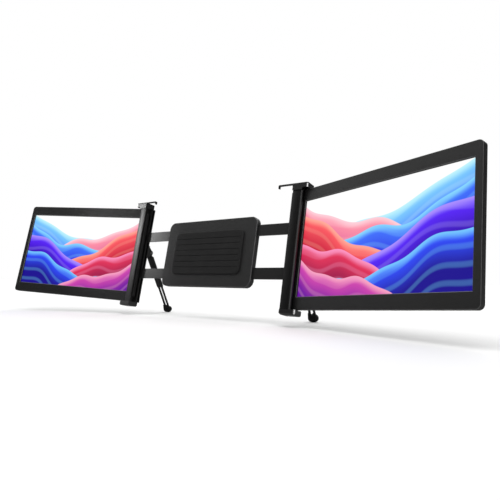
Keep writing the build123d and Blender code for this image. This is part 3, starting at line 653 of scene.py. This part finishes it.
def plain_screw(solid, axis):
    """Of a plain screw: a point on its axis, the way its head looks, the radii of its head and shank,
    and the heights of its tip, its head's seat and its top."""
    middle = sum(solid, Vector()) / len(solid)
    heights = [axis.dot(point) for point in solid]
    radii = [((point - middle) - axis * axis.dot(point - middle)).length for point in solid]
    head = max(radii)
    shank = max(radius for radius in radii if radius < head_share * head)
    wide = [height for height, radius in zip(heights, radii) if radius > head_share * head]
    upward = abs(max(wide) - max(heights)) < abs(min(wide) - min(heights))
    way = axis if upward else -axis
    heights = [way.dot(point) for point in solid]
    tip, top = min(heights), max(heights)
    seat = top - (max(wide) - min(wide))
    return middle - way * way.dot(middle), way, head, shank, tip, seat, top


def cross_recess(points, faces, centre, across, beside, head, sink):
    """Closes the open top of a turned head with a face round a tapered cross recess. The vector sink
    leads from the top to the recess's floor."""
    rim = list(range(len(points) - head_sides, len(points)))
    upper = len(points)
    arm, half_slot = slot_reach * head, slot_half_width * head
    outline = []
    for c, s in ((1, 0), (0, 1), (-1, 0), (0, -1)):
        for x, y in ((arm, -half_slot), (arm, half_slot), (half_slot, half_slot)):
            outline.append((x * c - y * s, x * s + y * c))
    for level, share in ((centre, 1.0), (centre + sink, recess_taper)):
        points += [level + share * (x * across + y * beside) for x, y in outline]
    count = len(outline)
    for step in range(count):
        after = (step + 1) % count
        faces.append([upper + step, upper + count + step, upper + count + after, upper + after])
    faces.append([upper + count + step for step in range(count)])
    for quarter in range(4):
        start = quarter * head_sides // 4
        ring = [rim[(start + step) % head_sides] for step in range(head_sides // 4 + 1)]
        inner = [upper + (quarter * count // 4 + step) % count for step in (1, 2, 3, 4)]
        faces.append([*ring, *reversed(inner)])


def cross_screws(node, axis, body):
    """Round-headed screws in the places of a CAD node's plain ones."""
    points, faces = [], []
    for solid in separate_solids(node):
        origin, way, head, shank, tip, seat, top = plain_screw(solid, axis)
        dome = top - seat
        profile = [
            (tip_share * shank, tip), (shank, tip + tip_taper * shank), (shank, seat), (head, seat)
        ]
        for bend in (0, pi / 8, pi / 4, 3 * pi / 8, pi / 2):
            radius = head * (flat_share + (1 - flat_share) * cos(bend))
            profile.append((radius, top - dome_share * dome * (1 - sin(bend))))
        across, beside = turned(points, faces, origin, way, profile, closed=False)
        sink = -recess_depth * dome * way
        cross_recess(points, faces, origin + way * top, across, beside, head, sink)
    piece = add_piece(node.replace("screws", "cross_screws"), points, faces, black_steel, body)
    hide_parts(node)


cross_screws("housing_screws", front_axis, "centre")
for side in SIDES:
    cross_screws(f"{side}_arm_screws", front_axis, f"{side}_arm")
    cross_screws(f"{side}_cap_screws", lean_axis, f"{side}_arm")
    cross_screws(f"{side}_screen_screws", screen_front(side), f"{side}_screen")

# Legs: a flat moulded sleeve, two black steel rods that slide in it, and a rubber barrel
# moulded on their ends with a collar round each rod.
sleeve_plastic = moulded_plastic("sleeve_plastic", shade=0.008, grain=0.0006, relief=0.00005, rough=0.45)
rod_coat = powder_coat("rod_coat", shade=0.006, rough=0.3, speckle=0.0009)
foot_rubber = rubber("foot_rubber", shade=0.004, rough=0.6)
foot_roundness = 2.7
foot_steps = 16
collar_wall = 0.0007
collar_rings = 4
collar_start_share = 0.6
collar_rise_share = 0.3
dress_pair(sleeve_plastic, "leg_sleeve")
dress_pair(rod_coat, "leg_rods")
for side in SIDES:
    low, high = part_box(f"{side}_leg_foot")
    foot_middle = (low + high) / 2
    half_width, foot_radius = (high.x - low.x) / 2, (high.z - low.z) / 2
    barrel = []
    for step in range(1, foot_steps):
        place = cos(pi * step / foot_steps)
        swell = (1 - abs(place) ** foot_roundness) ** (1 / foot_roundness)
        barrel.append((foot_radius * swell, -half_width * place / cos(pi / foot_steps)))
    points, faces = [], []
    turned(points, faces, foot_middle, Vector((1, 0, 0)), barrel)
    for rod in separate_solids(f"{side}_leg_rods"):
        rod_middle = sum(rod, Vector()) / len(rod)
        rod_way = max(rod, key=lambda point: point.z) - min(rod, key=lambda point: point.z)
        rod_way = (rod_way - Vector((rod_way.x, 0, 0))).normalized()
        rod_radius = max(point.x for point in rod) - rod_middle.x
        rod_foot = rod_middle + rod_way * rod_way.dot(foot_middle - rod_middle)
        collar = []
        for step in range(collar_rings):
            wall = collar_wall * (collar_rings - step) / 2
            rise = foot_radius * (collar_start_share + collar_rise_share * step)
            collar.append((rod_radius + wall, rise))
        turned(points, faces, rod_foot, rod_way, collar)
    foot = add_piece(f"{side}_rubber_foot", points, faces, foot_rubber, f"{side}_reach")
    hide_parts(f"{side}_leg_foot")

# Floor: a wide pale sheet at the height of the rubber feet. It throws back less light than a
# white one would, so that undersides stay dark.
floor_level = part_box("right_leg_foot")[0].z
floor_reach = 12.0
seen_shade = 0.9
bounce_shade = 0.38
floor_corners = [(x * floor_reach, y * floor_reach) for x, y in ((-1, -1), (1, -1), (1, 1), (-1, 1))]
floor_mesh = bpy.data.meshes.new("floor")
floor_mesh.from_pydata([(x, y, floor_level) for x, y in floor_corners], [], [(0, 1, 2, 3)])
floor = bpy.data.objects.new("floor", floor_mesh)
scene.collection.objects.link(floor)
floor_white, floor_paint = new_finish("floor_white", Roughness=0.9, Specular_IOR_Level=0.0)
seen_floor = floor_paint.node("LightPath", output="Is Camera Ray")
feed(floor_paint, Base_Color=seen_floor.blend(grey(bounce_shade), grey(seen_shade)))
floor_mesh.materials.append(floor_white)

# Studio: a white surround with a wide light overhead, a tall soft light at the left that fades
# towards the floor, a narrow strip at the right and a fill light behind.
world = bpy.data.worlds.new("studio")
scene.world = world
world.use_nodes = True
sky = Socket(world.node_tree)
sky_way = sky.node("TexCoord", output="Generated")
dim_light = 0.06


def lamp(azimuth, elevation, core, edge, strength):
    """A soft light in a direction given in degrees, full within its core and gone past its edge."""
    turn, rise = radians(azimuth), radians(elevation)
    aim = Vector((cos(turn) * cos(rise), sin(turn) * cos(rise), sin(rise)))
    return strength * sky_way.along(aim).smooth(cos(radians(edge)), cos(radians(core)))


rising = sky_way.along((0, 0, 1)).smooth(0.05, 0.4)
overhead = lamp(azimuth=90, elevation=88, core=18, edge=48, strength=2.35)
left_light = lamp(azimuth=190, elevation=28, core=8, edge=38, strength=1.28) * rising
right_strip = lamp(azimuth=326, elevation=19, core=10, edge=22, strength=2.2)
rear_fill = lamp(azimuth=112, elevation=25, core=12, edge=42, strength=1.6)
light = dim_light + overhead + left_light + right_strip + rear_fill
seen = sky.node("LightPath", output="Is Camera Ray")
glow = light + seen * (1 - light)
background = world.node_tree.nodes["Background"]
world.node_tree.links.new(glow.output, background.inputs["Strength"])
background.inputs["Color"].default_value = grey(1.0)
scene.view_settings.view_transform = "Standard"

# Spot lamps: two small soft lamps at the left front, one with a slit beam along the left column
# and one on the left screen's frame.
bulb_radius = 0.05


def spot_lamp(name, place, target, watts, width, height):
    """A soft lamp with an oval beam, whose width and height in degrees follow the columns' lean."""
    lamp_data = bpy.data.lights.new(name, "SPOT")
    lamp_data.energy = watts
    lamp_data.spot_size = radians(height)
    lamp_data.spot_blend = 1.0
    lamp_data.shadow_soft_size = bulb_radius
    spot = bpy.data.objects.new(name, lamp_data)
    scene.collection.objects.link(spot)
    back = (Vector(place) - Vector(target)).normalized()
    across = lean_axis.cross(back).normalized()
    turn = Matrix((across, back.cross(across), back)).transposed().to_4x4()
    oval = Matrix.Diagonal((width / height, 1.0, 1.0, 1.0))
    spot.matrix_world = Matrix.Translation(place) @ turn @ oval


spot_lamp(
    "column_lamp", place=(-0.768, -0.437, 0.33), target=(-0.174, 0.004, -0.01),
    watts=16.0, width=5, height=27,
)
spot_lamp(
    "frame_lamp", place=(-0.6, -0.88, 0.47), target=(-0.29, -0.05, 0.03),
    watts=1.9, width=22, height=20,
)

# Camera: low at the right, looking a little up at the clamp, with a slight roll. Its angles are
# in degrees.
camera_place = (0.5288, -0.598, -0.0469)
camera_tilt = 3.735
camera_turn = 36.145
camera_roll = 0.71
camera_lens = 33.95
camera_data = bpy.data.cameras.new("camera")
camera_data.sensor_width = 36.0
camera_data.lens = camera_lens
camera = bpy.data.objects.new("camera", camera_data)
scene.collection.objects.link(camera)
camera.location = camera_place
level_view = Euler((radians(90 + camera_tilt), 0, radians(camera_turn))).to_matrix()
camera.rotation_euler = (level_view @ Matrix.Rotation(radians(camera_roll), 3, "Z")).to_euler()
scene.camera = camera
